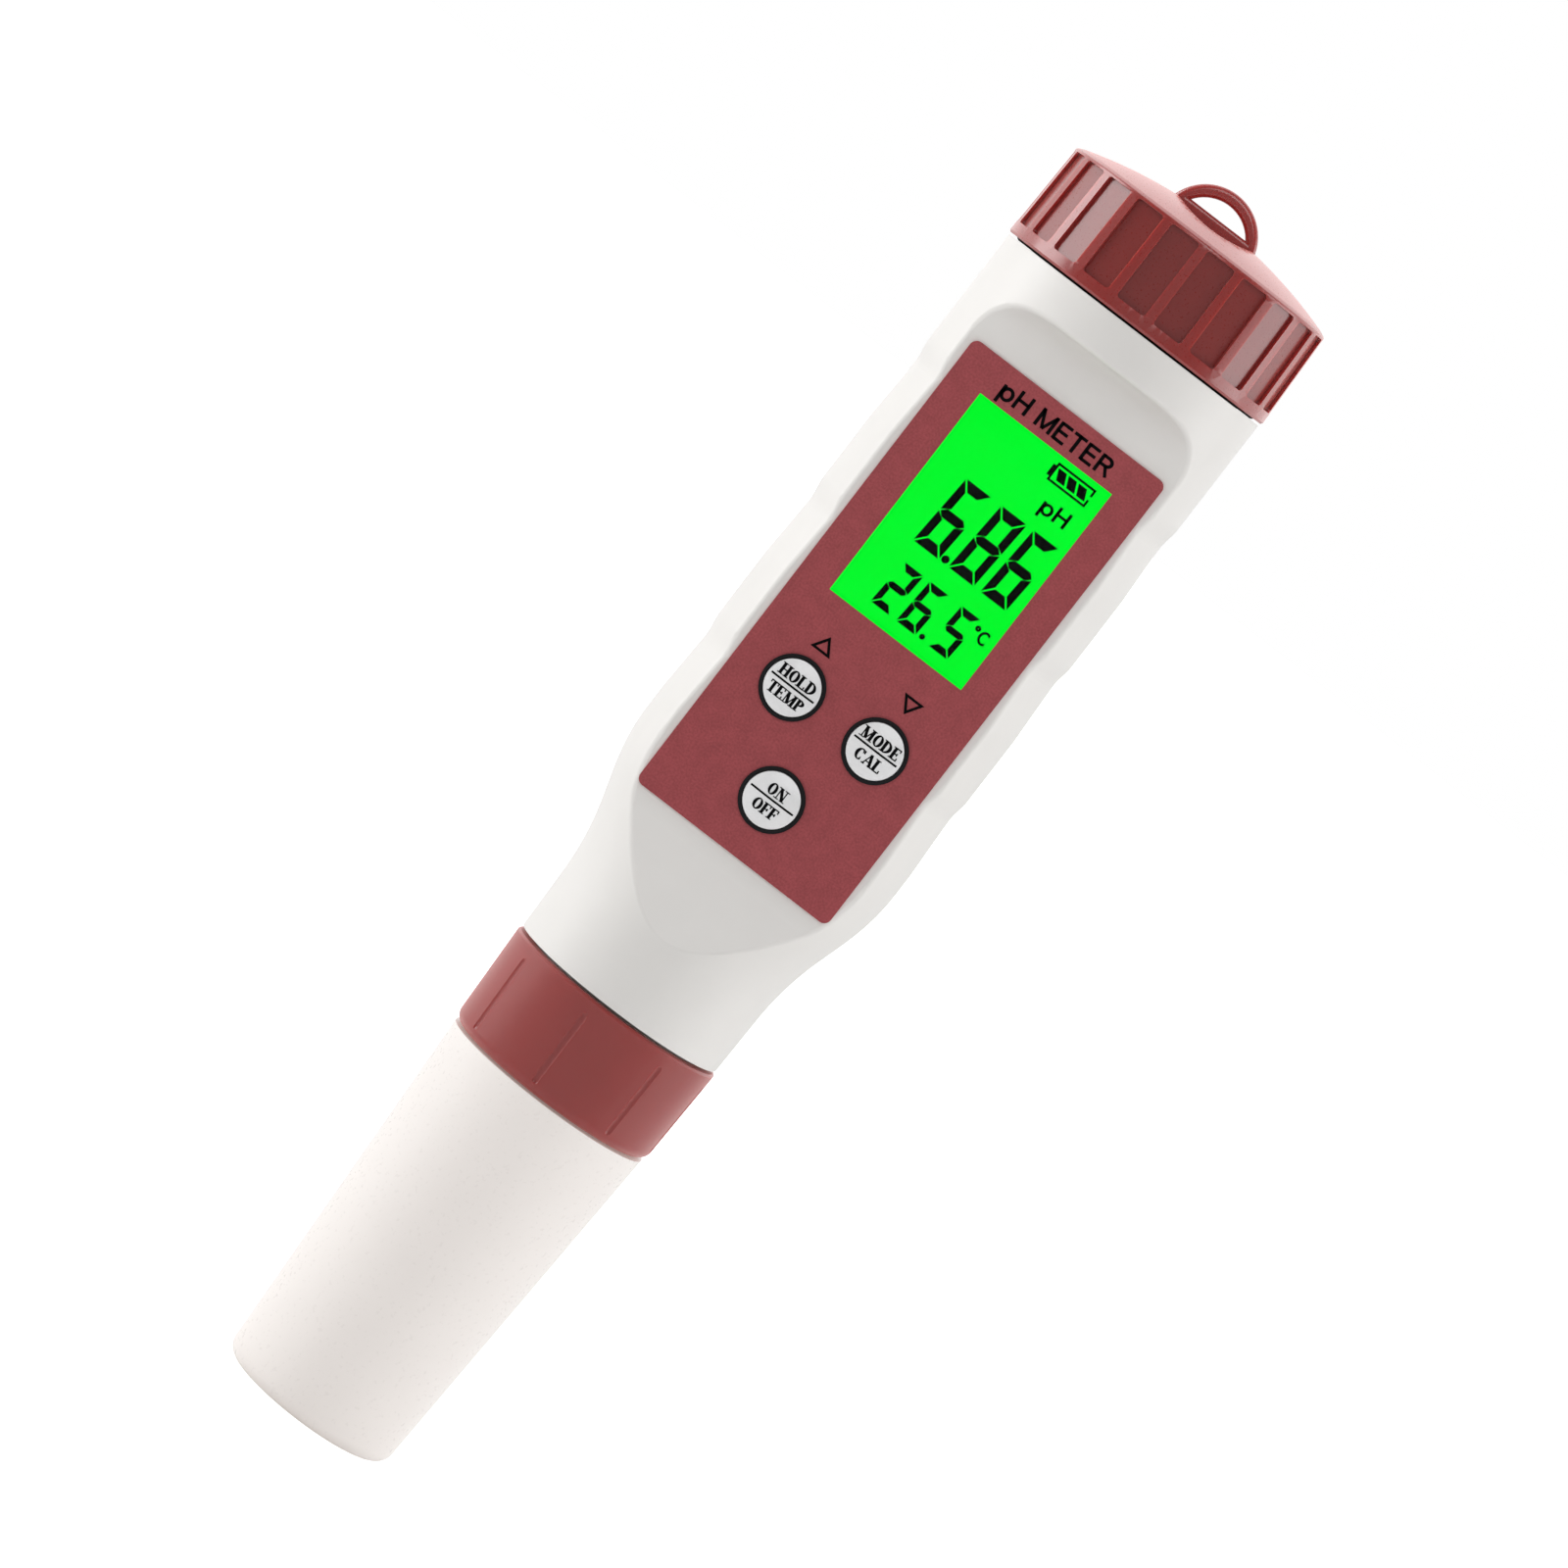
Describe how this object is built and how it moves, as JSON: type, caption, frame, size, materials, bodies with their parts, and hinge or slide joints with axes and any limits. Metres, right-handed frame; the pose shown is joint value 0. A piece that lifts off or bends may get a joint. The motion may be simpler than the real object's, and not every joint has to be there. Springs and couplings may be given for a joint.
{
  "type": "ph meter",
  "caption": "Pen-type pH meter with a green backlit display, domed buttons, a screw-on electrode with lock collar, a fluted battery cap with lanyard loop, and a storage cap.",
  "frame": {"origin": "centre of the closed flat end of the storage cap, on the surface that the meter stands on", "axes": "+Z along the meter from the storage cap to the lanyard loop, -Y out of the display"},
  "size_m": [0.0384, 0.0384, 0.186],
  "materials": {
    "rose_plastic": "satin moulded plastic, dusty red",
    "white_plastic": "satin moulded plastic, warm off-white",
    "pearl_plastic": "smooth pearly white plastic",
    "label_film": "fine-grained printed film, dark red",
    "window_clear": "clear polished plastic pane",
    "button_silver": "silvery white domed plastic",
    "black_rubber": "smooth black rubber",
    "lcd_green": "green backlit liquid crystal glass",
    "guide_clear": "clear acrylic light guide",
    "led_white": "white light emitting diode",
    "white_film": "white reflector film",
    "zebra_rubber": "layered conductive rubber",
    "board_green": "solder-masked circuit board",
    "chip_black": "moulded black plastic",
    "chip_ceramic": "tan ceramic",
    "spring_steel": "bright spring steel",
    "cell_steel": "plated steel cell can",
    "sensor_steel": "polished stainless pin",
    "gold_contact": "gold-plated contact",
    "silver_wire": "silver wire",
    "porous_ceramic": "porous white ceramic",
    "bulb_glass": "thin sensing glass",
    "electrode_plastic": "dark moulded plastic",
    "sponge": "open-cell sponge",
    "tray_plastic": "grey moulded plastic",
    "ribbon_film": "amber flexible film",
    "lead_red": "red wire insulation",
    "lead_black": "black wire insulation",
    "liner_foam": "thin foam pad"
  },
  "bodies": {
    "storage_cap": {"storage_cap": "pearl_plastic", "soaking_sponge": "sponge"},
    "electrode": {"electrode_body": "electrode_plastic", "probe_guard": "electrode_plastic", "glass_bulb": "bulb_glass", "reference_wire": "silver_wire", "reference_junction": "porous_ceramic", "temperature_sensor": "sensor_steel", "probe_seal": "black_rubber", "collar_gasket": "black_rubber", "connector_pins": "gold_contact"},
    "lock_collar": {"lock_collar": "rose_plastic"},
    "housing": {"housing": "white_plastic", "face_label": "label_film", "display_window": "window_clear", "button_seals": "black_rubber", "switch_bodies": "spring_steel", "lcd_front_glass": "lcd_green", "lcd_rear_glass": "lcd_green", "lcd_bezel": "chip_black", "backlight_guide": "guide_clear", "backlight_leds": "led_white", "backlight_reflector": "white_film", "rubber_connectors": "zebra_rubber", "main_board": "board_green", "board_screws": "spring_steel", "microcontroller": "chip_black", "signal_amplifier": "chip_black", "crystal": "spring_steel", "capacitors": "chip_ceramic", "chassis": "tray_plastic", "probe_socket": "chip_black", "socket_contacts": "gold_contact", "sensor_ribbon": "ribbon_film", "battery_holder": "tray_plastic", "battery_cells": "cell_steel", "battery_springs": "spring_steel", "terminal_plates": "spring_steel", "positive_lead": "lead_red", "negative_lead": "lead_black"},
    "battery_cap_seal": {"battery_cap_seal": "black_rubber"},
    "battery_cap": {"battery_cap": "rose_plastic", "cap_liner": "liner_foam", "contact_plate": "spring_steel"},
    "hold_button": {"hold_button": "button_silver", "hold_plunger": "chip_black"},
    "mode_button": {"mode_button": "button_silver", "mode_plunger": "chip_black"},
    "power_button": {"power_button": "button_silver", "power_plunger": "chip_black"}
  },
  "joints": [
    {"name": "probe_pull", "type": "slide", "parent": "storage_cap", "child": "electrode", "axis": [0, 0, 1], "range_m": [0, 0.06]},
    {"name": "collar_turn", "type": "hinge", "parent": "electrode", "child": "lock_collar", "pos_m": [0, 0, 0.0562], "axis": [0, 0, -1], "range_deg": [0, 905]},
    {"name": "housing_lift", "type": "slide", "parent": "electrode", "child": "housing", "axis": [0, 0, 1], "range_m": [0, 0.00625]},
    {"name": "battery_cap_lift", "type": "slide", "parent": "housing", "child": "battery_cap_seal", "axis": [0, 0, 1], "range_m": [0, 0.0075]},
    {"name": "battery_cap_turn", "type": "hinge", "parent": "battery_cap_seal", "child": "battery_cap", "pos_m": [0, 0, 0.1725], "axis": [0, 0, 1], "range_deg": [0, 905]},
    {"name": "hold_press", "type": "slide", "parent": "housing", "child": "hold_button", "axis": [0, 1, 0], "range_m": [0, 0.00035], "stiffness_N_per_m": 400},
    {"name": "mode_press", "type": "slide", "parent": "housing", "child": "mode_button", "axis": [0, 1, 0], "range_m": [0, 0.00035], "stiffness_N_per_m": 400},
    {"name": "power_press", "type": "slide", "parent": "housing", "child": "power_button", "axis": [0, 1, 0], "range_m": [0, 0.00035], "stiffness_N_per_m": 400}
  ],
  "couplings": [
    {"joint": "collar_turn", "follows": "housing_lift", "rad_per_m": 2513.3},
    {"joint": "battery_cap_turn", "follows": "battery_cap_lift", "rad_per_m": 2094.4}
  ]
}
